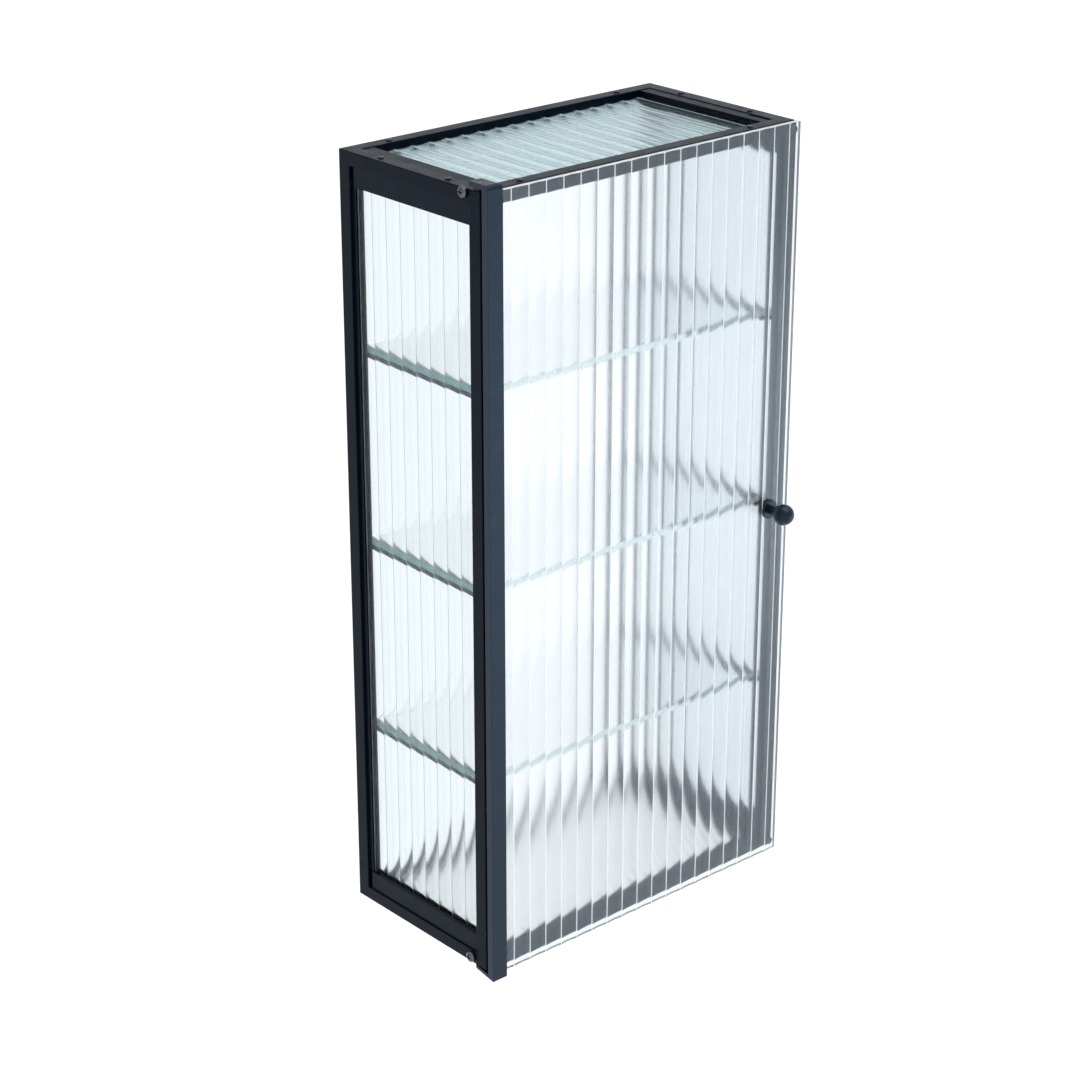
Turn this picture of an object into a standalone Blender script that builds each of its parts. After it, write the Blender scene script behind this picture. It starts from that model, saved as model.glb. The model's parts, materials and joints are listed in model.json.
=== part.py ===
"""A wall mounted display cabinet: a black metal frame glazed with fluted glass, with three
glass shelves and a glass door that turns on two pivots at its left edge.

Metres, +Z up. The wall is the plane Y = 0 and the room lies towards -Y. The origin is the
middle of the rear face of the top back rail, where the cabinet hangs.
"""

import math

import bmesh
import bpy
from mathutils import Matrix, Vector

MM = 0.001
# The clearance between neighbours, and how far a cutter stands past what it cuts.
GAP = 0.3 * MM
PAST = 1 * MM
WELD = 0.001 * MM

# Frame: outer size and the section of its bars.
WIDTH = 402 * MM
DEPTH = 206 * MM
HEIGHT = 800 * MM
BAR = 15.7 * MM
RAIL_HEIGHT = 14 * MM
WALL = 2 * MM
EDGE_RADIUS = 0.8 * MM

# Corner connectors: three arms flush with the bars, and tongues that enter them.
ARM_ACROSS = 45 * MM
ARM_UPRIGHT = 39 * MM
TONGUE = 18 * MM

# Fluted panes: flat inside, hollow flutes outside that meet in sharp ridges.
FLUTE_PITCH = 21 * MM
FLUTE_RISE = 1.3 * MM
PANE_THICKNESS = 4.8 * MM
FLUTE_STEPS = 6
RIDGE_THICKNESS = PANE_THICKNESS + FLUTE_RISE
SIDE_RIDGE_Y = -41.2 * MM
DOOR_RIDGE_IN = 29.4 * MM

# Glazing channels, measured from the frame's outer faces.
CHANNEL_INSET = 1.5 * MM
CHANNEL_LIP = 34 * MM
CHANNEL_REAR = 20.3 * MM
LEDGE_DROP = 0.8 * MM
LEDGE_REACH = 29 * MM
SIDE_SLOT = (4.6 * MM, 12.4 * MM)
SIDE_SLOT_DEPTH = 10 * MM
TOP_SLOT = (7.0 * MM, 13.7 * MM)
TOP_SLOT_START = 20 * MM
CHANNEL_WALL = 1.8 * MM
LEDGE_THICKNESS = 2.5 * MM
LIP_REACH = 21.6 * MM
PANE_PLAY = 0.4 * MM

# The relief in the top right channel, beside the front connector's arm.
RELIEF_WIDTH = 3.4 * MM
RELIEF_DEPTH = 6.5 * MM
RELIEF_SPAN = (1.5 * MM, 29 * MM)

# Shelves and the bars that carry them, counted up from the frame's underside.
SHELF_THICKNESS = 6.5 * MM
FIRST_SHELF_TOP = 205.5 * MM
SHELF_PITCH = 200.7 * MM
SHELF_INSET = 14.7 * MM
SHELF_ARRIS = 0.4 * MM
SHELF_BAR_HEIGHT = 4.5 * MM
SHELF_BAR_WIDTH = 8 * MM

# Door: pivots, glass, stile and knob, measured from the frame's left and front faces.
PIVOT_IN = 7 * MM
PIVOT_BACK = 7.5 * MM
DOOR_GAP = 2.5 * MM
GLASS_LEFT = 3.9 * MM
GLASS_TOP_DROP = 0.1 * MM
GLASS_BOTTOM_DROP = 2.7 * MM
STILE_WIDTH = 18 * MM
STILE_DEPTH = 8 * MM
STILE_SHEET = 1.7 * MM
STILE_FLANK = 3.4 * MM
STILE_TOP = 7.5 * MM
STILE_FOOT = 8.5 * MM
ARM_THICKNESS = 4.3 * MM
ARM_WIDTH = 14.5 * MM
ARM_REAR = 15.5 * MM
ARM_CORNER = 4 * MM
BEND_RADIUS = 4.5 * MM
FOOT_REAR = 18 * MM
FOOT_PIN_END = 5.2 * MM
FOOT_TIP_RADIUS = 1.6 * MM
FOOT_TIP_DROP = 2.1 * MM
FOOT_TAPER_END = 3.2 * MM
FOOT_TAPER_DROP = 4.2 * MM
FOOT_TOP_DROP = 0.45 * MM
FOOT_ROOT_DROP = 3.3 * MM
PIN_RADIUS = 3 * MM
BUSH_RADIUS = 4.6 * MM
BUSH_FLANGE = 6 * MM
BUSH_DEPTH = 8 * MM
KNOB_IN = 27.3 * MM
KNOB_UP = 400 * MM
KNOB_BASE_RADIUS = 10 * MM
KNOB_BASE_THICKNESS = 2.4 * MM
KNOB_NECK_RADIUS = 4.5 * MM
KNOB_NECK_LENGTH = 8.5 * MM
KNOB_BALL_RADIUS = 11 * MM
KNOB_EDGE = 0.5 * MM
KNOB_SCREW_RADIUS = 2 * MM
KNOB_SCREW_HEAD = (4 * MM, 2.4 * MM)
WASHER_RADIUS = 9 * MM
WASHER_THICKNESS = 1.3 * MM
GLASS_HOLE_RADIUS = 3.3 * MM

# Screws: head radius, head height, shank radius, shank length.
RAIL_SCREW = (3 * MM, 1.7 * MM, 1.45 * MM, 8 * MM)
LOCK_SCREW = (5.7 * MM, 4.2 * MM, 2 * MM, 10 * MM)
SCREW_FROM_CORNER = 54 * MM
SCREW_IN = 8 * MM
LOCK_SCREW_BACK = 22.6 * MM
LOCK_SCREW_UP = {"top": 3.7 * MM, "bottom": 6.6 * MM}
# Shares of the head's height and radius.
HEAD_RIM = 0.45
RECESS_FLOOR = 0.42
RECESS_REACH = 0.58
RECESS_HALF_WIDTH = 0.13
DOME_ANGLES = (70, 50, 25, 0)

# Bumper pads between the door and the frame, at the right-hand corners.
BUMPER_RADIUS = 4 * MM
BUMPER_IN = 4.5 * MM
BUMPER_UP = {"top": 8.4 * MM, "bottom": 5 * MM}

# Keyhole slots in the rear wall of the top back rail.
KEYHOLE_SPREAD = 240 * MM
KEYHOLE_RADIUS = 4 * MM
KEYHOLE_SLOT_RADIUS = 2.2 * MM
KEYHOLE_MOUTH_Z = -1.75 * MM
KEYHOLE_SLOT_Z = 2.8 * MM

LEFT = -WIDTH / 2
RIGHT = WIDTH / 2
FRONT = -DEPTH
TOP = RAIL_HEIGHT / 2
BOTTOM = TOP - HEIGHT
DOOR_BACK = FRONT - DOOR_GAP
SIDES = {"left": 1, "right": -1}
LEVELS = {"top": -1, "bottom": 1}
DEPTHS = {"front": 1, "back": -1}
ROUND = 20
SMALL_ROUND = 12
# Edges sharper than this stay crisp when the rest is shaded smooth.
CRISP_DEGREES = 35

COLOURS = {
    "frame": ((0.026, 0.031, 0.040), 0.42, 0.6),
    "channel": ((0.020, 0.024, 0.031), 0.5, 0.5),
    "glass": ((0.86, 0.94, 0.93), 0.05, 0.0),
    "shelf_glass": ((0.70, 0.88, 0.84), 0.03, 0.0),
    "hardware": ((0.20, 0.20, 0.21), 0.3, 1.0),
    "bush": ((0.03, 0.03, 0.03), 0.6, 0.0),
    "rubber": ((0.02, 0.02, 0.022), 0.8, 0.0),
    "knob": ((0.012, 0.012, 0.013), 0.35, 0.3),
}


def clear_scene():
    for obj in list(bpy.data.objects):
        bpy.data.objects.remove(obj)


def new_mesh(bm):
    bmesh.ops.recalc_face_normals(bm, faces=bm.faces)
    mesh = bpy.data.meshes.new("shape")
    bm.to_mesh(mesh)
    bm.free()
    return mesh


def boolean(base, cutter, operation):
    """The mesh that the Boolean modifier makes of two meshes, which it uses up."""
    objects = [bpy.data.objects.new("operand", mesh) for mesh in (base, cutter)]
    for obj in objects:
        bpy.context.scene.collection.objects.link(obj)
    modifier = objects[0].modifiers.new("cut", "BOOLEAN")
    modifier.operation = operation
    modifier.object = objects[1]
    graph = bpy.context.evaluated_depsgraph_get()
    result = bpy.data.meshes.new_from_object(objects[0].evaluated_get(graph))
    for obj in objects:
        bpy.data.objects.remove(obj)
    return result


def cut(base, *cutters):
    for cutter in cutters:
        base = boolean(base, cutter, "DIFFERENCE")
    return base


def joined(base, *others):
    for other in others:
        base = boolean(base, other, "UNION")
    return base


def box(low, high):
    bm = bmesh.new()
    bmesh.ops.create_cube(bm, size=1)
    for vert in bm.verts:
        vert.co = Vector([b if side > 0 else a for a, b, side in zip(low, high, vert.co)])
    return new_mesh(bm)


def prism(outline, axis, start, end):
    """A closed outline drawn in the other two axes, in X, Y, Z order, and extruded along one."""
    bm = bmesh.new()
    verts = []
    for point in outline:
        place = list(point)
        place.insert("XYZ".index(axis), start)
        verts.append(bm.verts.new(place))
    face = bm.faces.new(verts)
    grown = bmesh.ops.extrude_face_region(bm, geom=[face])["geom"]
    for vert in grown:
        if isinstance(vert, bmesh.types.BMVert):
            vert.co["XYZ".index(axis)] = end
    return new_mesh(bm)


def lathe(profile, axis, steps=ROUND):
    """A solid of revolution from a closed outline of (radius, height) points, about an axis."""
    bm = bmesh.new()
    verts = [bm.verts.new((radius, 0, height)) for radius, height in profile]
    edges = [bm.edges.new(pair) for pair in zip(verts, verts[1:] + verts[:1])]
    bmesh.ops.spin(
        bm, geom=verts + edges, cent=(0, 0, 0), axis=(0, 0, 1), angle=math.tau, steps=steps, use_merge=True
    )
    bmesh.ops.remove_doubles(bm, verts=bm.verts, dist=WELD)
    # The closing edge of a solid profile lies on the axis and leaves faces with no area.
    bmesh.ops.dissolve_degenerate(bm, dist=WELD, edges=bm.edges)
    turn = Vector((0, 0, 1)).rotation_difference(Vector(axis)).to_matrix().to_4x4()
    bmesh.ops.transform(bm, matrix=turn, verts=bm.verts)
    return new_mesh(bm)


def moved(mesh, offset):
    mesh.transform(Matrix.Translation(offset))
    return mesh


def arc(centre, radius, start, end, steps):
    """Points on an arc, both ends included, with its angles in degrees."""
    angles = [math.radians(start + (end - start) * step / steps) for step in range(steps + 1)]
    return [(centre[0] + radius * math.cos(a), centre[1] + radius * math.sin(a)) for a in angles]


def rounded_rectangle(low, high, radius):
    corners = (
        ((high[0] - radius, high[1] - radius), 0),
        ((low[0] + radius, high[1] - radius), 90),
        ((low[0] + radius, low[1] + radius), 180),
        ((high[0] - radius, low[1] + radius), 270),
    )
    return [point for centre, start in corners for point in arc(centre, radius, start, start + 90, 2)]


def fluted_outline(low, high, ridge):
    """A pane's section: its flat side at 0 and hollow flutes on the other, one ridge at a given place."""
    radius = (FLUTE_PITCH**2 / 4 + FLUTE_RISE**2) / (2 * FLUTE_RISE)
    step = FLUTE_PITCH / FLUTE_STEPS
    first = math.ceil((low - ridge) / step + 0.01)
    last = math.floor((high - ridge) / step - 0.01)
    places = [low] + [ridge + step * index for index in range(first, last + 1)] + [high]
    face = []
    for place in places:
        aside = (place - ridge) % FLUTE_PITCH - FLUTE_PITCH / 2
        face.append((place, PANE_THICKNESS + radius - math.sqrt(radius**2 - aside**2)))
    return [(high, 0), (low, 0)] + face


def material(name, kind):
    colour, roughness, metallic = COLOURS[kind]
    made = bpy.data.materials.new(name)
    made.use_nodes = True
    shader = made.node_tree.nodes["Principled BSDF"]
    shader.inputs["Base Color"].default_value = (*colour, 1)
    shader.inputs["Roughness"].default_value = roughness
    shader.inputs["Metallic"].default_value = metallic
    if "glass" in kind:
        shader.inputs["Transmission Weight"].default_value = 0.9
    return made


def add(name, mesh, kind, location=None, parent=None):
    """Puts a mesh drawn in world coordinates into the scene, with its origin at a location."""
    if location is None:
        low = [min(v.co[i] for v in mesh.vertices) for i in range(3)]
        high = [max(v.co[i] for v in mesh.vertices) for i in range(3)]
        location = (Vector(low) + Vector(high)) / 2
    location = Vector(location)
    mesh.name = name
    mesh.materials.clear()
    mesh.materials.append(material(name, kind))
    moved(mesh, -location)
    mesh.shade_smooth()
    mesh.set_sharp_from_angle(angle=math.radians(CRISP_DEGREES))
    obj = bpy.data.objects.new(name, mesh)
    bpy.context.scene.collection.objects.link(obj)
    if parent is not None:
        obj.parent = parent
        location = location - parent.location
    obj.location = location
    return obj


def three_arms(lengths, inset, round_edges):
    """A corner of three square arms, measured inwards from the frame's outer corner."""
    section = (BAR, BAR, RAIL_HEIGHT)
    bm = bmesh.new()
    bmesh.ops.create_cube(bm, size=1)
    for vert in bm.verts:
        vert.co = Vector([size - inset if side > 0 else inset for size, side in zip(section, vert.co)])
    bm.normal_update()
    for axis, length in enumerate(lengths):
        facing = [face for face in bm.faces if face.normal[axis] > 0.9]
        stub = min(facing, key=lambda face: face.calc_center_median().length)
        end = bmesh.ops.extrude_discrete_faces(bm, faces=[stub])["faces"][0]
        for vert in end.verts:
            vert.co[axis] = length
        bm.normal_update()
    if round_edges:
        ends = [
            edge
            for edge in bm.edges
            if any(all(v.co[axis] > lengths[axis] - PAST for v in edge.verts) for axis in range(3))
        ]
        long_edges = [
            edge for edge in bm.edges if edge not in ends and edge.calc_face_angle_signed(0) > 0.5
        ]
        bmesh.ops.bevel(
            bm, geom=long_edges, offset=EDGE_RADIUS, segments=2, profile=0.5, affect="EDGES"
        )
    return new_mesh(bm)


def corner_of(level, depth, side):
    """The frame's outer corner, and the signs that lead from it into the frame."""
    corner = Vector((
        LEFT if side == "left" else RIGHT,
        FRONT if depth == "front" else 0,
        TOP if level == "top" else BOTTOM,
    ))
    return corner, Vector((SIDES[side], DEPTHS[depth], LEVELS[level]))


def placed_at_corner(mesh, corner, signs):
    mesh.transform(Matrix.Translation(corner) @ Matrix.Diagonal((*signs, 1)))
    if signs[0] * signs[1] * signs[2] < 0:
        mesh.flip_normals()
    return mesh


def screw_mesh(size, axis):
    """A pan head screw with a cross recess, its head's underside at the origin and its head along an axis."""
    head, height, shank, length = size
    rim = height * HEAD_RIM
    profile = [(0, height)]
    for angle in DOME_ANGLES:
        turn = math.radians(angle)
        profile.append((head * math.cos(turn), rim + (height - rim) * math.sin(turn)))
    profile += [(head, 0), (shank, 0), (shank, -length), (0, -length)]
    mesh = lathe(profile, (0, 0, 1), ROUND if head > RAIL_SCREW[0] else SMALL_ROUND)
    reach = head * RECESS_REACH
    half = head * RECESS_HALF_WIDTH
    floor = height * RECESS_FLOOR
    for low, high in (((-reach, -half), (reach, half)), ((-half, -reach), (half, reach))):
        mesh = cut(mesh, box((*low, floor), (*high, height + PAST)))
    turn = Vector((0, 0, 1)).rotation_difference(Vector(axis)).to_matrix().to_4x4()
    mesh.transform(turn)
    return mesh


def rod(radius, start, end):
    """A plain cylinder between two points, for pads and for cutting round holes."""
    span = Vector(end) - Vector(start)
    outline = [(0, span.length), (radius, span.length), (radius, 0), (0, 0)]
    mesh = lathe(outline, span.normalized(), ROUND if radius > PIN_RADIUS else SMALL_ROUND)
    return moved(mesh, start)


def rail_screw_places():
    """Name, place on the frame's top face, and the rail that each of the top screws is in."""
    for side, inwards in SIDES.items():
        for depth, forwards in DEPTHS.items():
            corner, _ = corner_of("top", depth, side)
            near = corner + Vector((inwards * SCREW_IN, forwards * SCREW_FROM_CORNER, 0))
            yield f"frame_screw_{side}_rail_{depth}", near, f"rail_top_{side}"
            near = corner + Vector((inwards * SCREW_FROM_CORNER, forwards * SCREW_IN, 0))
            yield f"frame_screw_{depth}_rail_{side}", near, f"rail_top_{depth}"


def screw_hole(place):
    _, _, shank, length = RAIL_SCREW
    up = Vector((0, 0, 1))
    return rod(shank + GAP, place - up * (length + GAP), place + up * PAST)


def lock_screw_place(level):
    up = TOP - LOCK_SCREW_UP["top"] if level == "top" else BOTTOM + LOCK_SCREW_UP["bottom"]
    return Vector((LEFT, FRONT + LOCK_SCREW_BACK, up))


def pivot_axis():
    return Vector((LEFT + PIVOT_IN, FRONT + PIVOT_BACK, 0))


def build_connectors():
    lengths = (ARM_ACROSS, ARM_ACROSS, ARM_UPRIGHT)
    reaches = [length + TONGUE for length in lengths]
    for level, up in LEVELS.items():
        for depth in DEPTHS:
            for side in SIDES:
                mesh = joined(
                    three_arms(lengths, 0, True), three_arms(reaches, WALL + GAP, False)
                )
                corner, signs = corner_of(level, depth, side)
                mesh = placed_at_corner(mesh, corner, signs)
                for _, place, _ in rail_screw_places():
                    if level == "top" and (place - corner).length < reaches[0]:
                        mesh = cut(mesh, screw_hole(place))
                if (depth, side) == ("front", "left"):
                    mesh = cut(mesh, *pivot_corner_holes(level, up))
                add(f"corner_connector_{level}_{depth}_{side}", mesh, "frame", corner)


def pivot_corner_holes(level, up):
    """Cutters for the lock screw's hole and the bush's seat in a front left connector."""
    _, _, shank, length = LOCK_SCREW
    place = lock_screw_place(level)
    inwards = Vector((1, 0, 0))
    yield rod(shank + GAP, place - inwards * PAST, place + inwards * (length + GAP))
    mouth = pivot_axis()
    mouth.z = TOP if level == "top" else BOTTOM
    inwards = Vector((0, 0, up))
    yield rod(BUSH_RADIUS + GAP, mouth - inwards * PAST, mouth + inwards * (BUSH_DEPTH + 2 * GAP))


def hollow_bar(low, high, axis):
    """A rectangular tube with rounded long edges, between two opposite corners of its outer box."""
    index = "XYZ".index(axis)
    across = [i for i in range(3) if i != index]
    outer_low = [low[i] for i in across]
    outer_high = [high[i] for i in across]
    tube = prism(rounded_rectangle(outer_low, outer_high, EDGE_RADIUS), axis, low[index], high[index])
    bore_low = [value + WALL for value in low]
    bore_high = [value - WALL for value in high]
    bore_low[index] = low[index] - PAST
    bore_high[index] = high[index] + PAST
    return cut(tube, box(bore_low, bore_high))


def keyhole(x):
    """A cutter for a keyhole slot through the rail's rear wall, its round mouth below its slot."""
    mouth = arc((x, KEYHOLE_MOUTH_Z), KEYHOLE_RADIUS, 125, 415, 14)
    slot = arc((x, KEYHOLE_SLOT_Z), KEYHOLE_SLOT_RADIUS, 0, 180, 6)
    return prism(mouth + slot, "Y", -WALL - PAST / 2, PAST / 2)


def build_rails():
    screws = [(place, rail) for _, place, rail in rail_screw_places()]
    reach = ARM_ACROSS + GAP
    for level in LEVELS:
        base = TOP - RAIL_HEIGHT if level == "top" else BOTTOM
        spans = {
            "front": ((LEFT + reach, FRONT), (RIGHT - reach, FRONT + BAR), "X"),
            "back": ((LEFT + reach, -BAR), (RIGHT - reach, 0), "X"),
            "left": ((LEFT, FRONT + reach), (LEFT + BAR, -reach), "Y"),
            "right": ((RIGHT - BAR, FRONT + reach), (RIGHT, -reach), "Y"),
        }
        for place, (low, high, axis) in spans.items():
            name = f"rail_{level}_{place}"
            mesh = hollow_bar((*low, base), (*high, base + RAIL_HEIGHT), axis)
            mesh = cut(mesh, *(screw_hole(point) for point, rail in screws if rail == name))
            if name == "rail_top_back":
                mesh = cut(mesh, *(keyhole(x) for x in (-KEYHOLE_SPREAD / 2, KEYHOLE_SPREAD / 2)))
            add(name, mesh, "frame")


def build_posts():
    low = BOTTOM + ARM_UPRIGHT + GAP
    high = TOP - ARM_UPRIGHT - GAP
    for side, inwards in SIDES.items():
        outside = LEFT if side == "left" else RIGHT
        for depth in DEPTHS:
            y = FRONT if depth == "front" else -BAR
            x = min(outside, outside + inwards * BAR)
            mesh = hollow_bar((x, y, low), (x + BAR, y + BAR, high), "Z")
            if depth == "back":
                mesh = joined(mesh, *back_lips(outside, inwards, low, high))
            add(f"post_{depth}_{side}", mesh, "frame")


def back_lips(outside, inwards, low, high):
    """The two lips of a back post, which the rear edge of the side pane stands between."""
    for near in (SIDE_SLOT[0] - CHANNEL_WALL, SIDE_SLOT[1]):
        ends = sorted((outside + inwards * near, outside + inwards * (near + CHANNEL_WALL)))
        yield box((ends[0], -BAR - 2 * GAP, low), (ends[1], WALL / 2 - BAR, high))
        foot = BOTTOM + CHANNEL_LIP + GAP
        head = TOP - CHANNEL_LIP - GAP
        yield box((ends[0], -LIP_REACH, foot), (ends[1], -BAR - GAP, head))


def channel_outline():
    """A glazing channel's section: distances in from the frame's side and from its top or bottom."""
    rim = RAIL_HEIGHT + GAP
    inner = SIDE_SLOT[1] + CHANNEL_WALL
    ledge = TOP_SLOT[1] + LEDGE_THICKNESS
    root = CHANNEL_LIP - SIDE_SLOT_DEPTH
    above_top_slot = [
        (CHANNEL_INSET, rim),
        (BAR + GAP, rim),
        (BAR + GAP, LEDGE_DROP),
        (LEDGE_REACH, LEDGE_DROP),
        (LEDGE_REACH, TOP_SLOT[0]),
        (TOP_SLOT_START, TOP_SLOT[0]),
    ]
    below_top_slot = [
        (TOP_SLOT_START, TOP_SLOT[1]),
        (LEDGE_REACH, TOP_SLOT[1]),
        (LEDGE_REACH, ledge),
        (inner, ledge),
    ]
    round_side_slot = [
        (inner, CHANNEL_LIP),
        (SIDE_SLOT[1], CHANNEL_LIP),
        (SIDE_SLOT[1], root),
        (SIDE_SLOT[0], root),
        (SIDE_SLOT[0], CHANNEL_LIP),
        (CHANNEL_INSET, CHANNEL_LIP),
    ]
    return above_top_slot + below_top_slot + round_side_slot


def build_channels():
    rear = -BAR - GAP
    front = FRONT + BAR + GAP
    for level in LEVELS:
        for side in SIDES:
            corner, signs = corner_of(level, "back", side)
            mesh = prism(channel_outline(), "Y", -front, -rear)
            # The outer wall stops short of the back post's arm and leaves a dark slot there.
            notch = box((0, 0, RAIL_HEIGHT), (SIDE_SLOT[0], CHANNEL_REAR, CHANNEL_LIP + PAST))
            mesh = cut(mesh, notch)
            if (level, side) == ("top", "right"):
                near, far = RELIEF_SPAN
                relief = box((BAR, -front - far, 0), (BAR + RELIEF_WIDTH, -front - near, RELIEF_DEPTH))
                mesh = cut(mesh, relief)
            add(f"glazing_channel_{level}_{side}", placed_at_corner(mesh, corner, signs), "channel")


def build_panes():
    rear = -BAR - GAP
    front = FRONT + BAR + GAP
    low = BOTTOM + CHANNEL_LIP - SIDE_SLOT_DEPTH + GAP
    high = TOP - CHANNEL_LIP + SIDE_SLOT_DEPTH - GAP
    flat_side = SIDE_SLOT[1] - PANE_PLAY
    for side, inwards in SIDES.items():
        outside = LEFT if side == "left" else RIGHT
        outline = [
            (outside + inwards * (flat_side - depth), along)
            for along, depth in fluted_outline(front, rear - PAST, SIDE_RIDGE_Y)
        ]
        add(f"side_glass_{side}", prism(outline, "Z", low, high), "glass")
    edge = TOP_SLOT_START + PANE_PLAY
    flat_side = TOP_SLOT[1] - GAP
    for level, up in LEVELS.items():
        face = TOP if level == "top" else BOTTOM
        outline = [
            (along, face + up * (flat_side - depth))
            for along, depth in fluted_outline(LEFT + edge, RIGHT - edge, 0)
        ]
        add(f"{level}_glass", prism(outline, "Y", front, rear), "glass")


def build_shelves():
    rear = -BAR - GAP
    front = FRONT + BAR + GAP
    for index, place in enumerate(("lower", "middle", "upper")):
        top = BOTTOM + FIRST_SHELF_TOP + index * SHELF_PITCH
        under = top - SHELF_THICKNESS
        outline = rounded_rectangle((front, under), (rear, top), SHELF_ARRIS)
        plate = prism(outline, "X", LEFT + SHELF_INSET, RIGHT - SHELF_INSET)
        add(f"shelf_{place}", plate, "shelf_glass")
        head = under - GAP
        for side, inwards in SIDES.items():
            edge = (LEFT if side == "left" else RIGHT) + inwards * SHELF_INSET
            ends = sorted((edge, edge + inwards * SHELF_BAR_WIDTH))
            mesh = box((ends[0], front, head - SHELF_BAR_HEIGHT), (ends[1], rear, head))
            add(f"shelf_bar_{place}_{side}", mesh, "channel")


def build_screws():
    mesh = screw_mesh(RAIL_SCREW, (0, 0, 1))
    for name, place, _ in rail_screw_places():
        add(name, moved(mesh.copy(), place + Vector((0, 0, GAP))), "hardware", place)
    for level in LEVELS:
        place = lock_screw_place(level)
        mesh = moved(screw_mesh(LOCK_SCREW, (-1, 0, 0)), place - Vector((GAP, 0, 0)))
        add(f"lock_screw_{level}", mesh, "hardware", place)


def build_bumpers():
    for level, up in LEVELS.items():
        height = (TOP if level == "top" else BOTTOM) + up * BUMPER_UP[level]
        centre = Vector((RIGHT - BUMPER_IN, FRONT - GAP, height))
        mesh = rod(BUMPER_RADIUS, centre, centre + Vector((0, GAP * 2 - DOOR_GAP, 0)))
        add(f"door_bumper_{level}", mesh, "rubber")


def pivot_solids(level):
    """The bush in the frame and the pin on the door at one pivot: heights are counted out of the frame."""
    out = -LEVELS[level]
    face = TOP if level == "top" else BOTTOM
    bore = PIN_RADIUS + GAP
    if level == "top":
        flange = STILE_TOP - ARM_THICKNESS - GAP
        rim = [(bore, flange), (BUSH_FLANGE, flange), (BUSH_FLANGE, GAP), (BUSH_RADIUS, GAP)]
        outer_end = STILE_TOP - GAP
    else:
        rim = [(bore, 0), (BUSH_RADIUS, 0)]
        outer_end = FOOT_PIN_END
    bush = lathe(rim + [(BUSH_RADIUS, -BUSH_DEPTH), (bore, -BUSH_DEPTH)], (0, 0, out))
    chamfer = PIN_RADIUS / 5
    pin_outline = [
        (0, outer_end),
        (PIN_RADIUS, outer_end),
        (PIN_RADIUS, chamfer - BUSH_DEPTH),
        (PIN_RADIUS - chamfer, -BUSH_DEPTH),
        (0, -BUSH_DEPTH),
    ]
    pin = lathe(pin_outline, (0, 0, out))
    place = pivot_axis() + Vector((0, 0, face))
    return moved(bush, place), moved(pin, place)


def stile_side_outline():
    """The stile seen from the left, in Y and Z: the upright, the bent top arm and the tapered foot."""
    face = DOOR_BACK - STILE_DEPTH
    head = TOP + STILE_TOP
    arm_rear = FRONT + ARM_REAR
    foot_rear = FRONT + FOOT_REAR
    tip = (foot_rear - FOOT_TIP_RADIUS, BOTTOM - FOOT_TIP_DROP)
    outline = [(arm_rear, head - ARM_THICKNESS), (arm_rear, head)]
    outline += arc((face + BEND_RADIUS, head - BEND_RADIUS), BEND_RADIUS, 90, 180, 5)
    outline += [(face, BOTTOM - STILE_FOOT), (face + BEND_RADIUS / 4, BOTTOM - STILE_FOOT)]
    outline += [(foot_rear - FOOT_TAPER_END, BOTTOM - FOOT_TAPER_DROP)]
    outline += arc(tip, FOOT_TIP_RADIUS, -60, 75, 4)
    outline += [(foot_rear - FOOT_TAPER_END, BOTTOM - FOOT_TOP_DROP)]
    outline += [(DOOR_BACK, BOTTOM - FOOT_ROOT_DROP), (DOOR_BACK, head - ARM_THICKNESS)]
    return outline


def stile_plan_outline():
    """The stile seen from above, in X and Y: the face plate and the rounded ends of its arms."""
    face = DOOR_BACK - STILE_DEPTH
    plate_back = face + STILE_SHEET
    rear = FRONT + FOOT_REAR + PAST
    outline = [(LEFT, face), (LEFT + STILE_WIDTH, face), (LEFT + STILE_WIDTH, plate_back)]
    outline += [(LEFT + ARM_WIDTH, plate_back)]
    outline += arc((LEFT + ARM_WIDTH - ARM_CORNER, rear - ARM_CORNER), ARM_CORNER, 0, 90, 4)
    outline += arc((LEFT + ARM_CORNER, rear - ARM_CORNER), ARM_CORNER, 90, 180, 4)
    return outline


def build_stile(parent):
    low = BOTTOM - STILE_FOOT - PAST
    high = TOP + STILE_TOP + PAST
    mesh = prism(stile_side_outline(), "X", LEFT, LEFT + STILE_WIDTH)
    plan = prism(stile_plan_outline(), "Z", low, high)
    mesh = boolean(mesh, plan, "INTERSECT")
    rebate_low = (
        LEFT + STILE_FLANK,
        DOOR_BACK - STILE_DEPTH + STILE_SHEET,
        BOTTOM - GLASS_BOTTOM_DROP - GAP,
    )
    rebate_high = (LEFT + STILE_WIDTH + PAST, DOOR_BACK + PAST, TOP - GLASS_TOP_DROP + GAP)
    holes = [
        rod(PIN_RADIUS + GAP, pivot_axis() + Vector((0, 0, start)), pivot_axis() + Vector((0, 0, end)))
        for start, end in ((TOP + PAST, high), (low, BOTTOM - GAP / 3))
    ]
    mesh = cut(mesh, box(rebate_low, rebate_high), *holes)
    add("door_stile", mesh, "frame", parent.location, parent)


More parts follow.
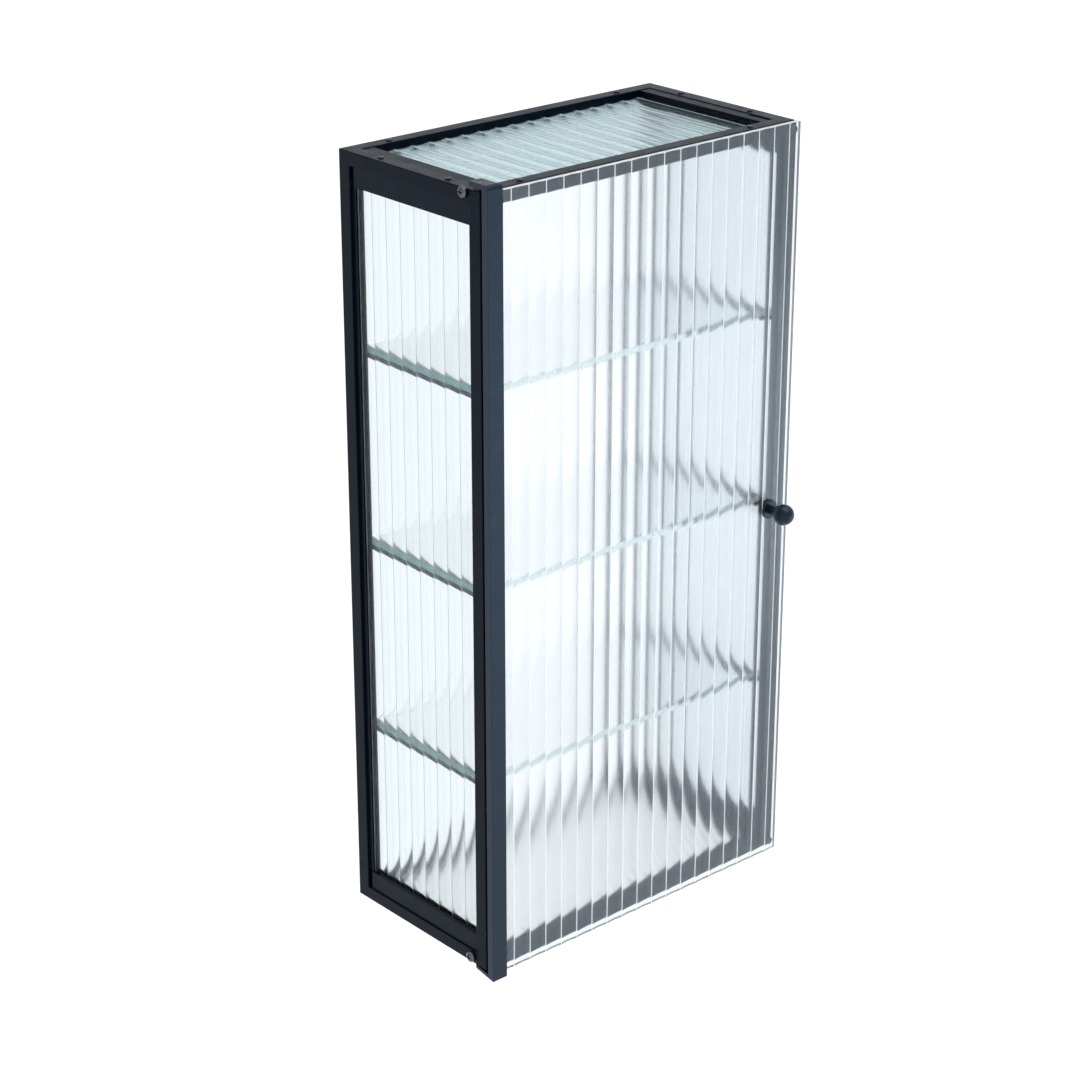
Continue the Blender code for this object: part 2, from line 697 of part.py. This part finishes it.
def knob_profile():
    """The knob's outline as radius and distance out from the ridges of the glass."""
    neck_end = KNOB_BASE_THICKNESS + KNOB_NECK_LENGTH
    reach = math.sqrt(KNOB_BALL_RADIUS**2 - KNOB_NECK_RADIUS**2)
    centre = neck_end + reach
    start = math.degrees(math.asin(-reach / KNOB_BALL_RADIUS))
    ball = arc((0, centre), KNOB_BALL_RADIUS, 90, start, 12)
    bore = KNOB_SCREW_RADIUS + GAP
    base = [
        (KNOB_NECK_RADIUS, KNOB_BASE_THICKNESS),
        (KNOB_BASE_RADIUS - KNOB_EDGE, KNOB_BASE_THICKNESS),
        (KNOB_BASE_RADIUS, KNOB_BASE_THICKNESS - KNOB_EDGE),
        (KNOB_BASE_RADIUS, 0),
    ]
    screw_hole_outline = [(bore, 0), (bore, neck_end), (0, neck_end)]
    return [(0, centre + KNOB_BALL_RADIUS)] + ball[1:] + base + screw_hole_outline


def build_knob(parent):
    outwards = (0, -1, 0)
    seat = DOOR_BACK - RIDGE_THICKNESS - GAP
    place = Vector((RIGHT - KNOB_IN, seat, BOTTOM + KNOB_UP))
    add("door_knob", moved(lathe(knob_profile(), outwards), place), "knob", place, parent)
    bore = KNOB_SCREW_RADIUS + GAP
    washer_outline = [
        (bore, WASHER_THICKNESS),
        (WASHER_RADIUS, WASHER_THICKNESS),
        (WASHER_RADIUS, 0),
        (bore, 0),
    ]
    behind = Vector((place.x, DOOR_BACK + GAP, place.z))
    washer = moved(lathe(washer_outline, (0, 1, 0)), behind)
    add("knob_washer", washer, "rubber", behind, parent)
    length = WASHER_THICKNESS + GAP + DOOR_BACK - seat + KNOB_NECK_LENGTH + GAP
    size = (*KNOB_SCREW_HEAD, KNOB_SCREW_RADIUS, length)
    head = behind + Vector((0, WASHER_THICKNESS + GAP, 0))
    add("knob_screw", moved(screw_mesh(size, (0, 1, 0)), head), "hardware", head, parent)
    return place


def build_door():
    pivot = bpy.data.objects.new("door_pivot", None)
    pivot.location = pivot_axis()
    bpy.context.scene.collection.objects.link(pivot)
    for level in LEVELS:
        bush, pin = pivot_solids(level)
        add(f"pivot_bush_{level}", bush, "bush")
        add(f"pivot_pin_{level}", pin, "hardware", parent=pivot)
    build_stile(pivot)
    knob = build_knob(pivot)
    outline = [
        (along, DOOR_BACK - depth)
        for along, depth in fluted_outline(LEFT + GLASS_LEFT, RIGHT, LEFT + DOOR_RIDGE_IN)
    ]
    mesh = prism(outline, "Z", BOTTOM - GLASS_BOTTOM_DROP, TOP - GLASS_TOP_DROP)
    behind = Vector((knob.x, DOOR_BACK + PAST, knob.z))
    hole = rod(GLASS_HOLE_RADIUS, behind, behind - Vector((0, RIDGE_THICKNESS + 2 * PAST, 0)))
    add("door_glass", cut(mesh, hole), "glass", parent=pivot)


clear_scene()
build_connectors()
build_rails()
build_posts()
build_channels()
build_panes()
build_shelves()
build_screws()
build_bumpers()
build_door()
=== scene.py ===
"""The looks of the wall mounted showcase: fluted glass, painted frame and fittings, around the CAD frame."""

import json
import math

import bmesh
import bpy
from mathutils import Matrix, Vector


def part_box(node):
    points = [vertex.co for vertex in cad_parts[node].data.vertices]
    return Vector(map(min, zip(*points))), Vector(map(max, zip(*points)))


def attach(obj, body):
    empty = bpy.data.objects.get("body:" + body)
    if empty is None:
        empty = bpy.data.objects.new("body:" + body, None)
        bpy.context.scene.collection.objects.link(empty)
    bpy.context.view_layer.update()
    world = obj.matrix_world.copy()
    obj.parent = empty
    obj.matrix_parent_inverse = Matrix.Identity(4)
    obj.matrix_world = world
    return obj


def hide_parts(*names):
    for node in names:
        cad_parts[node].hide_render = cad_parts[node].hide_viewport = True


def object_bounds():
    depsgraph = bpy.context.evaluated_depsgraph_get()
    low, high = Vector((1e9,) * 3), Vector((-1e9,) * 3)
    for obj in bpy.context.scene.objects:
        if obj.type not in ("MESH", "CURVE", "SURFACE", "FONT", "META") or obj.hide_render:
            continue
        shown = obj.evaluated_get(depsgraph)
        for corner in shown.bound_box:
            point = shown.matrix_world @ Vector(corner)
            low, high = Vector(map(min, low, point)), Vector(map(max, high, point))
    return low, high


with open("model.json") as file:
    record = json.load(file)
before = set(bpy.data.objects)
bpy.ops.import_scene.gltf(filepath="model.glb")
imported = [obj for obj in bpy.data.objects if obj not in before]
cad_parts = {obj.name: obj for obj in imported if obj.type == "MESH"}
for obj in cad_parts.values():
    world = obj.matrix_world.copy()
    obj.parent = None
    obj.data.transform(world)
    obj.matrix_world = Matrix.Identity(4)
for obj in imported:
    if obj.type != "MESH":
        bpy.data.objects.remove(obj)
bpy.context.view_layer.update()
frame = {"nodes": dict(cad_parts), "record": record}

MM = 0.001

# The axes, as places in a vector.
X, Y, Z = 0, 1, 2

# Fluted glass: the pitch and depth of the hollow flutes, and the radius of the ridges between them.
FLUTE_PITCH = 21 * MM
FLUTE_RISE = 1.05 * MM
RIDGE_RADIUS = 3.1 * MM
FLUTE_STEPS = 16
RIDGE_STEPS = 4

# The place of one ridge on the side panes, on the top and bottom panes, and on the door.
SIDE_RIDGE = -41.2 * MM
LEVEL_RIDGE = 0.0
DOOR_RIDGE_FROM_LEFT = 29.4 * MM  # from the left face of the door's stile

SHELF_ARRIS = 0.5 * MM

# A face points along an axis when that part of its unit normal is over this.
FACES_AXIS = 0.9

# Material slots of the glass pieces, after the glass itself: ground edges, a pane's crests, a shelf's front.
EDGE_SLOT = 1
CREST_SLOT = 2
FRONT_SLOT = 2


# ---------------------------------------------------------------- material helpers


def new_material(name):
    made = bpy.data.materials.new(name)
    made.use_nodes = True
    return made, made.node_tree, made.node_tree.nodes["Principled BSDF"]


def noise(tree, scale, detail, stretch=(1, 1, 1)):
    """The factor of a noise texture in object space; its scale is in cells a metre."""
    place = tree.nodes.new("ShaderNodeTexCoord")
    mapping = tree.nodes.new("ShaderNodeMapping")
    mapping.inputs["Scale"].default_value = stretch
    texture = tree.nodes.new("ShaderNodeTexNoise")
    texture.inputs["Scale"].default_value = scale
    texture.inputs["Detail"].default_value = detail
    tree.links.new(place.outputs["Object"], mapping.inputs["Vector"])
    tree.links.new(mapping.outputs["Vector"], texture.inputs["Vector"])
    return texture.outputs["Fac"]


def ramp(tree, factor, stops):
    """A colour ramp over a factor; stops are (position, colour) pairs."""
    made = tree.nodes.new("ShaderNodeValToRGB")
    band = made.color_ramp
    while len(band.elements) < len(stops):
        band.elements.new(0.5)
    for element, (position, colour) in zip(band.elements, stops):
        element.position = position
        element.color = (*colour, 1)
    tree.links.new(factor, made.inputs["Fac"])
    return made.outputs["Color"]


def grey(value):
    return (value, value, value)


def scaled(colour, share):
    return tuple(share * value for value in colour)


def bump(tree, factor, strength, distance):
    made = tree.nodes.new("ShaderNodeBump")
    made.inputs["Strength"].default_value = strength
    made.inputs["Distance"].default_value = distance
    tree.links.new(factor, made.inputs["Height"])
    return made.outputs["Normal"]


# ---------------------------------------------------------------- materials

GLASS_IOR = 1.5
PAINT_TINT = (0.40, 0.64, 1.0, 1)
GLASS_TINT = (0.66, 0.84, 1.0, 1)
EDGE_SOFTNESS = 0.9 * MM

# How the waves in rolled glass are drawn out: along the height, along the depth, or not at all.
ALONG_HEIGHT = (1, 1, 0.15)
ALONG_DEPTH = (1, 0.15, 1)
EVEN = (1, 1, 1)


def powder_coat(name, colour, roughness, specular):
    """Satin powder coat: a fine orange peel, softened edges, cloudy roughness and a faint drift of colour."""
    made, tree, shader = new_material(name)
    clouds = noise(tree, scale=18, detail=3)
    drift = ((0.3, scaled(colour, 0.86)), (0.7, scaled(colour, 1.18)))
    tree.links.new(ramp(tree, clouds, drift), shader.inputs["Base Color"])
    sheen = noise(tree, scale=60, detail=5)
    levels = ((0.25, grey(roughness - 0.05)), (0.75, grey(roughness + 0.07)))
    tree.links.new(ramp(tree, sheen, levels), shader.inputs["Roughness"])
    soft_edges = tree.nodes.new("ShaderNodeBevel")
    soft_edges.inputs["Radius"].default_value = EDGE_SOFTNESS
    peel = bump(tree, noise(tree, scale=1500, detail=2), strength=0.12, distance=0.1 * MM)
    tree.links.new(soft_edges.outputs["Normal"], peel.node.inputs["Normal"])
    tree.links.new(peel, shader.inputs["Normal"])
    shader.inputs["Specular IOR Level"].default_value = specular
    shader.inputs["Specular Tint"].default_value = PAINT_TINT
    return made


def clear_glass(name, tint, roughness, ripple, clearness=1.0):
    """Clear glass with a slow ripple from the rolling and a trace of handling in its gloss."""
    made, tree, shader = new_material(name)
    drift = noise(tree, scale=9, detail=2)
    tints = ((0.3, scaled(tint, 0.985)), (0.7, tint))
    tree.links.new(ramp(tree, drift, tints), shader.inputs["Base Color"])
    marks = noise(tree, scale=45, detail=6)
    levels = ((0.45, grey(roughness)), (0.8, grey(roughness + 0.03)))
    tree.links.new(ramp(tree, marks, levels), shader.inputs["Roughness"])
    waves = noise(tree, scale=16, detail=1, stretch=ripple)
    tree.links.new(bump(tree, waves, strength=0.03, distance=0.6 * MM), shader.inputs["Normal"])
    shader.inputs["Transmission Weight"].default_value = clearness
    shader.inputs["IOR"].default_value = GLASS_IOR
    shader.inputs["Specular Tint"].default_value = GLASS_TINT
    return made


def ground_edge(name, colour):
    """The ground and half polished edge of a glass plate: milky, with fine grinding lines."""
    made, tree, shader = new_material(name)
    lines = noise(tree, scale=900, detail=3, stretch=(0.1, 0.1, 1))
    tones = ((0.3, scaled(colour, 0.9)), (0.7, colour))
    tree.links.new(ramp(tree, lines, tones), shader.inputs["Base Color"])
    levels = ((0.2, grey(0.3)), (0.8, grey(0.45)))
    tree.links.new(ramp(tree, lines, levels), shader.inputs["Roughness"])
    tree.links.new(bump(tree, lines, strength=0.2, distance=0.1 * MM), shader.inputs["Normal"])
    shader.inputs["Transmission Weight"].default_value = 0.55
    shader.inputs["IOR"].default_value = GLASS_IOR
    return made


def screw_steel(name):
    """Dark burnished steel with fine turning marks."""
    made, tree, shader = new_material(name)
    turning = noise(tree, scale=2500, detail=4)
    colours = ((0.3, (0.08, 0.08, 0.085)), (0.7, (0.17, 0.17, 0.18)))
    tree.links.new(ramp(tree, turning, colours), shader.inputs["Base Color"])
    levels = ((0.2, grey(0.2)), (0.8, grey(0.38)))
    tree.links.new(ramp(tree, turning, levels), shader.inputs["Roughness"])
    tree.links.new(bump(tree, turning, strength=0.1, distance=0.05 * MM), shader.inputs["Normal"])
    shader.inputs["Metallic"].default_value = 1.0
    return made


def rubber(name):
    """Matt black rubber with a moulded grain."""
    made, tree, shader = new_material(name)
    grain = noise(tree, scale=700, detail=5)
    tones = ((0.3, grey(0.014)), (0.7, grey(0.03)))
    tree.links.new(ramp(tree, grain, tones), shader.inputs["Base Color"])
    levels = ((0.2, grey(0.65)), (0.8, grey(0.85)))
    tree.links.new(ramp(tree, grain, levels), shader.inputs["Roughness"])
    tree.links.new(bump(tree, grain, strength=0.25, distance=0.1 * MM), shader.inputs["Normal"])
    return made


FRAME_COLOUR = (0.0010, 0.0028, 0.0066)
frame_paint = powder_coat("frame_paint", FRAME_COLOUR, roughness=0.34, specular=0.10)
stile_paint = powder_coat("stile_paint", FRAME_COLOUR, roughness=0.34, specular=0.50)
channel_paint = powder_coat("channel_paint", (0.0010, 0.0026, 0.0060), roughness=0.42, specular=0.14)
knob_paint = powder_coat("knob_paint", (0.0030, 0.0036, 0.0048), roughness=0.28, specular=0.5)
dark_steel = screw_steel("dark_steel")
soft_rubber = rubber("soft_rubber")

# Each fluted pane has its glass, and another one for the crests of its ridges.
# The panes are one glass, tinted apart: the darker side and top tints are painted shade of what
# is seen through them, and the untinted bottom paints out the floor's shadow seen through it.
door_glass = clear_glass("door_glass", (0.86, 0.885, 0.91), 0.17, ALONG_HEIGHT, clearness=0.975)
# Painted highlight: the door's crests are a half-milky white, a white line painted along each ridge.
door_crest_painted_highlight = clear_glass("door_crest_painted_highlight", (0.95, 0.97, 1.0), 0.45, ALONG_HEIGHT, clearness=0.35)
# Painted shade: the side panes' tint is darker than the door's.
side_glass = clear_glass("side_glass", (0.79, 0.84, 0.85), 0.13, ALONG_HEIGHT, clearness=0.99)
# Painted shade: the side panes' crests are dark, a dark line painted along each ridge.
side_crest_painted_shade = clear_glass("side_crest_painted_shade", (0.40, 0.48, 0.53), 0.40, ALONG_HEIGHT)
# Painted shade: the top pane's teal tint is the darkest of the panes.
top_glass = clear_glass("top_glass", (0.52, 0.69, 0.71), 0.14, ALONG_DEPTH, clearness=0.97)
# Painted highlight: the top pane's crests are paler than its glass, a light line painted along each ridge.
top_crest_painted_highlight = clear_glass("top_crest_painted_highlight", (0.80, 0.88, 0.88), 0.45, ALONG_DEPTH, clearness=0.5)
# Painted light: the bottom pane is left untinted, which clears the floor's shadow seen through it.
bottom_glass = clear_glass("bottom_glass", (1.0, 1.0, 1.0), 0.30, EVEN)
bottom_crest = clear_glass("bottom_crest", (1.0, 1.0, 1.0), 0.30, ALONG_DEPTH)
pane_edge = ground_edge("pane_edge", (0.92, 0.95, 0.96))

shelf_glass = clear_glass("shelf_glass", (0.975, 0.99, 0.99), 0.05, EVEN)
shelf_edge = ground_edge("shelf_edge", (0.52, 0.93, 0.86))
shelf_front_edge = clear_glass("shelf_front_edge", (0.80, 0.94, 0.91), 0.10, EVEN)


# ---------------------------------------------------------------- glass pieces


def add_piece(name, bm, materials, body, replaced):
    """Turns a bmesh into an object that rides on a body, in place of one CAD node."""
    bmesh.ops.recalc_face_normals(bm, faces=bm.faces)
    mesh = bpy.data.meshes.new(name)
    bm.to_mesh(mesh)
    bm.free()
    for material in materials:
        mesh.materials.append(material)
    obj = bpy.data.objects.new(name, mesh)
    bpy.context.scene.collection.objects.link(obj)
    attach(obj, body)
    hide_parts(replaced)


def clipped(points, low, high):
    """The part of a profile between two places, with new end points read off its straight pieces."""
    kept = []
    for (x0, y0, crest0), (x1, y1, crest1) in zip(points, points[1:]):
        for edge in (low, high):
            if x0 < edge < x1:
                kept.append((edge, y0 + (y1 - y0) * (edge - x0) / (x1 - x0), crest0))
        if low < x1 < high:
            kept.append((x1, y1, crest1))
    return sorted(kept)


def flute_profile(low, high, ridge):
    """Points (place, height over the valleys, whether a crest follows) across a fluted pane."""
    # The slope at which a hollow's arc runs into its ridge's arc, so that the two together rise FLUTE_RISE.
    meet = 2 * math.atan(2 * FLUTE_RISE / FLUTE_PITCH)
    hollow = FLUTE_PITCH / 2 / math.sin(meet) - RIDGE_RADIUS
    points = []
    first = math.floor((low - ridge) / FLUTE_PITCH) - 1
    last = math.ceil((high - ridge) / FLUTE_PITCH) + 1
    for cell in range(first, last):
        middle = ridge + (cell + 0.5) * FLUTE_PITCH
        for step in range(FLUTE_STEPS + 1):
            angle = meet * (2 * step / FLUTE_STEPS - 1)
            height = hollow * (1 - math.cos(angle))
            points.append((middle + hollow * math.sin(angle), height, step == FLUTE_STEPS))
        crest = middle + FLUTE_PITCH / 2
        for step in range(1, RIDGE_STEPS):
            angle = meet * (2 * step / RIDGE_STEPS - 1)
            height = FLUTE_RISE - RIDGE_RADIUS * (1 - math.cos(angle))
            points.append((crest + RIDGE_RADIUS * math.sin(angle), height, True))
    return clipped(points, low, high)


def fluted_pane(name, node, body, glass, crest, across, along, outwards, ridge):
    """A pane of fluted glass in a CAD pane's box: flat inside, with hollow flutes on its outer face.

    The flutes lie side by side on the axis across and run on the axis along. outwards is the outer face's
    direction on the third axis, 1 or -1, and ridge is the place of one ridge.
    """
    low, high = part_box(node)
    through = X + Y + Z - across - along
    inner = low[through] if outwards > 0 else high[through]
    plate = high[through] - low[through] - FLUTE_RISE
    profile = flute_profile(low[across], high[across], ridge)
    outline = [(high[across], 0), (low[across], 0)]
    outline += [(place, plate + rise) for place, rise, _ in profile]
    on_crest = [False, False] + [flag for _, _, flag in profile]
    bm = bmesh.new()
    rings = []
    for end in (low[along], high[along]):
        ring = []
        for place, depth in outline:
            spot = [0, 0, 0]
            spot[across] = place
            spot[through] = inner + outwards * depth
            spot[along] = end
            ring.append(bm.verts.new(spot))
        rings.append(ring)
    caps = [bm.faces.new(rings[0]), bm.faces.new(rings[1][::-1])]
    for cap in caps:
        cap.material_index = EDGE_SLOT
    # Side 0 is the flat inner face, sides 1 and count - 1 are the pane's long edges, and the rest are flutes.
    count = len(outline)
    for index in range(count):
        after = (index + 1) % count
        side = bm.faces.new((rings[0][index], rings[1][index], rings[1][after], rings[0][after]))
        side.smooth = 1 < index < count - 1
        if index in (1, count - 1):
            side.material_index = EDGE_SLOT
        elif on_crest[index]:
            side.material_index = CREST_SLOT
    for edge in bm.edges:
        edge.smooth = all(face.smooth for face in edge.link_faces)
    add_piece(name, bm, (glass, pane_edge, crest), body, node)


def shelf_plate(name, node):
    """A plain glass shelf with ground side edges, polished front and back edges, and small arrises."""
    low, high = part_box(node)
    bm = bmesh.new()
    bmesh.ops.create_cube(bm, size=1)
    for vert in bm.verts:
        vert.co = Vector([b if side > 0 else a for a, b, side in zip(low, high, vert.co)])
    edges = list(bm.edges)
    bmesh.ops.bevel(bm, geom=edges, offset=SHELF_ARRIS, segments=2, profile=0.5, affect="EDGES")
    bm.normal_update()
    for face in bm.faces:
        if abs(face.normal.y) > FACES_AXIS:
            face.material_index = FRONT_SLOT
        elif abs(face.normal.z) < FACES_AXIS:
            face.material_index = EDGE_SLOT
    materials = (shelf_glass, shelf_edge, shelf_front_edge)
    add_piece(name, bm, materials, "cabinet", node)


def build_glass():
    """Five fluted panes, whose flutes stand upright or run from front to back, and three shelves."""
    for side, outwards in (("left", -1), ("right", 1)):
        names = (f"fluted_{side}", f"side_glass_{side}", "cabinet")
        fluted_pane(*names, side_glass, side_crest_painted_shade, across=Y, along=Z, outwards=outwards, ridge=SIDE_RIDGE)
    names = ("fluted_top", "top_glass", "cabinet")
    fluted_pane(*names, top_glass, top_crest_painted_highlight, across=X, along=Y, outwards=1, ridge=LEVEL_RIDGE)
    names = ("fluted_bottom", "bottom_glass", "cabinet")
    fluted_pane(*names, bottom_glass, bottom_crest, across=X, along=Y, outwards=-1, ridge=LEVEL_RIDGE)
    names = ("fluted_door", "door_glass", "door")
    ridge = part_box("door_stile")[0].x + DOOR_RIDGE_FROM_LEFT
    fluted_pane(*names, door_glass, door_crest_painted_highlight, across=X, along=Z, outwards=-1, ridge=ridge)
    for place in ("lower", "middle", "upper"):
        shelf_plate(f"glass_shelf_{place}", f"shelf_{place}")


# ---------------------------------------------------------------- CAD nodes that stay

SLOT_PAINTS = {
    "frame": frame_paint,
    "channel": channel_paint,
    "screw_steel": dark_steel,
    "bush": soft_rubber,
    "rubber": soft_rubber,
    "knob": knob_paint,
}


def paint_nodes():
    """Gives each CAD node that stays the finish of its slot; the door's stile is a little glossier."""
    for part in frame["record"]["subparts"]:
        paint = SLOT_PAINTS.get(part["material_slot"])
        if part["node"] == "door_stile":
            paint = stile_paint
        if paint is None:
            continue
        for slot in frame["nodes"][part["node"]].material_slots:
            slot.material = paint


# ---------------------------------------------------------------- stage

# The floor's half width, how far it lies below the cabinet, and its paint.
FLOOR_REACH = 30
FLOOR_DROP = 1.2
FLOOR_WHITE = 0.9
FLOOR_ROUGHNESS = 0.9

# The pale surround has three colours: opposite this direction, square to it, and towards it.
SURROUND_DIRECTION = (0.69, -0.69, 0.22)
SURROUND_COLOURS = ((0.0, (0.70, 0.73, 0.76)), (0.5, (0.86, 0.89, 0.92)), (1.0, (0.76, 0.82, 0.88)))

# A wide overhead light, soft enough to leave no hard shadow; its angles are in degrees.
SUN_STRENGTH = 1.5
SUN_COLOUR = (1.0, 0.98, 0.965)
SUN_SPREAD = 50
SUN_TILT = (16, 10, 0)

# A low panel at the front right, facing the cabinet, which lights the door's face and its stile.
PANEL_WIDTH = 1.9
PANEL_HEIGHT = 0.8
PANEL_POWER = 6.5
PANEL_PLACE = (2.35, -2.65, -1.55)
PANEL_AIM = (0, -0.2, -0.5)

# The view is from the front left and above. Its lens and sensor are in millimetres, its angles in degrees.
SENSOR_WIDTH = 36
LENS_LENGTH = 92.1
CAMERA_PLACE = (-1.731, -2.031, 0.666)
CAMERA_YAW = 41.26
CAMERA_PITCH = 22.64

# Light passes through many glass faces here, and is turned back inside the shelves.
LIGHT_STEPS = 48
GLOSSY_STEPS = 24


def add_object(name, data, place=(0, 0, 0)):
    obj = bpy.data.objects.new(name, data)
    obj.location = place
    bpy.context.scene.collection.objects.link(obj)
    return obj


def build_floor():
    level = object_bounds()[0].z - FLOOR_DROP
    corners = [(x * FLOOR_REACH, y * FLOOR_REACH, level) for x, y in ((-1, -1), (1, -1), (1, 1), (-1, 1))]
    mesh = bpy.data.meshes.new("floor")
    mesh.from_pydata(corners, [], [(0, 1, 2, 3)])
    made, _, shader = new_material("floor_paint")
    shader.inputs["Base Color"].default_value = (*grey(FLOOR_WHITE), 1)
    shader.inputs["Roughness"].default_value = FLOOR_ROUGHNESS
    mesh.materials.append(made)
    floor = add_object("floor", mesh)


def build_surround():
    world = bpy.data.worlds.new("studio")
    world.use_nodes = True
    tree = world.node_tree
    direction = tree.nodes.new("ShaderNodeTexCoord")
    towards = tree.nodes.new("ShaderNodeVectorMath")
    towards.operation = "DOT_PRODUCT"
    towards.inputs[1].default_value = SURROUND_DIRECTION
    tree.links.new(direction.outputs["Generated"], towards.inputs[0])
    share = tree.nodes.new("ShaderNodeMapRange")
    share.inputs["From Min"].default_value = -1.0
    tree.links.new(towards.outputs["Value"], share.inputs["Value"])
    colours = ramp(tree, share.outputs["Result"], SURROUND_COLOURS)
    tree.links.new(colours, tree.nodes["Background"].inputs["Color"])
    bpy.context.scene.world = world


def build_lights():
    sun = bpy.data.lights.new("overhead", "SUN")
    sun.energy = SUN_STRENGTH
    sun.color = SUN_COLOUR
    sun.angle = math.radians(SUN_SPREAD)
    lamp = add_object("overhead", sun)
    lamp.rotation_euler = [math.radians(turn) for turn in SUN_TILT]
    panel = bpy.data.lights.new("low_fill", "AREA")
    panel.shape = "RECTANGLE"
    panel.size = PANEL_WIDTH
    panel.size_y = PANEL_HEIGHT
    panel.energy = PANEL_POWER
    fill = add_object("low_fill", panel, PANEL_PLACE)
    fill.rotation_euler = (Vector(PANEL_AIM) - fill.location).to_track_quat("-Z", "Y").to_euler()
    fill.visible_camera = False


def build_camera():
    data = bpy.data.cameras.new("camera")
    data.sensor_width = SENSOR_WIDTH
    data.lens = LENS_LENGTH
    camera = add_object("camera", data, CAMERA_PLACE)
    camera.rotation_euler = (math.radians(90 - CAMERA_PITCH), 0, -math.radians(CAMERA_YAW))
    bpy.context.scene.camera = camera


def set_light_paths():
    bpy.context.scene.view_settings.view_transform = "Standard"
    cycles = bpy.context.scene.cycles
    cycles.max_bounces = LIGHT_STEPS
    cycles.transmission_bounces = LIGHT_STEPS
    cycles.glossy_bounces = GLOSSY_STEPS


paint_nodes()
build_glass()
build_floor()
build_surround()
build_lights()
build_camera()
set_light_paths()
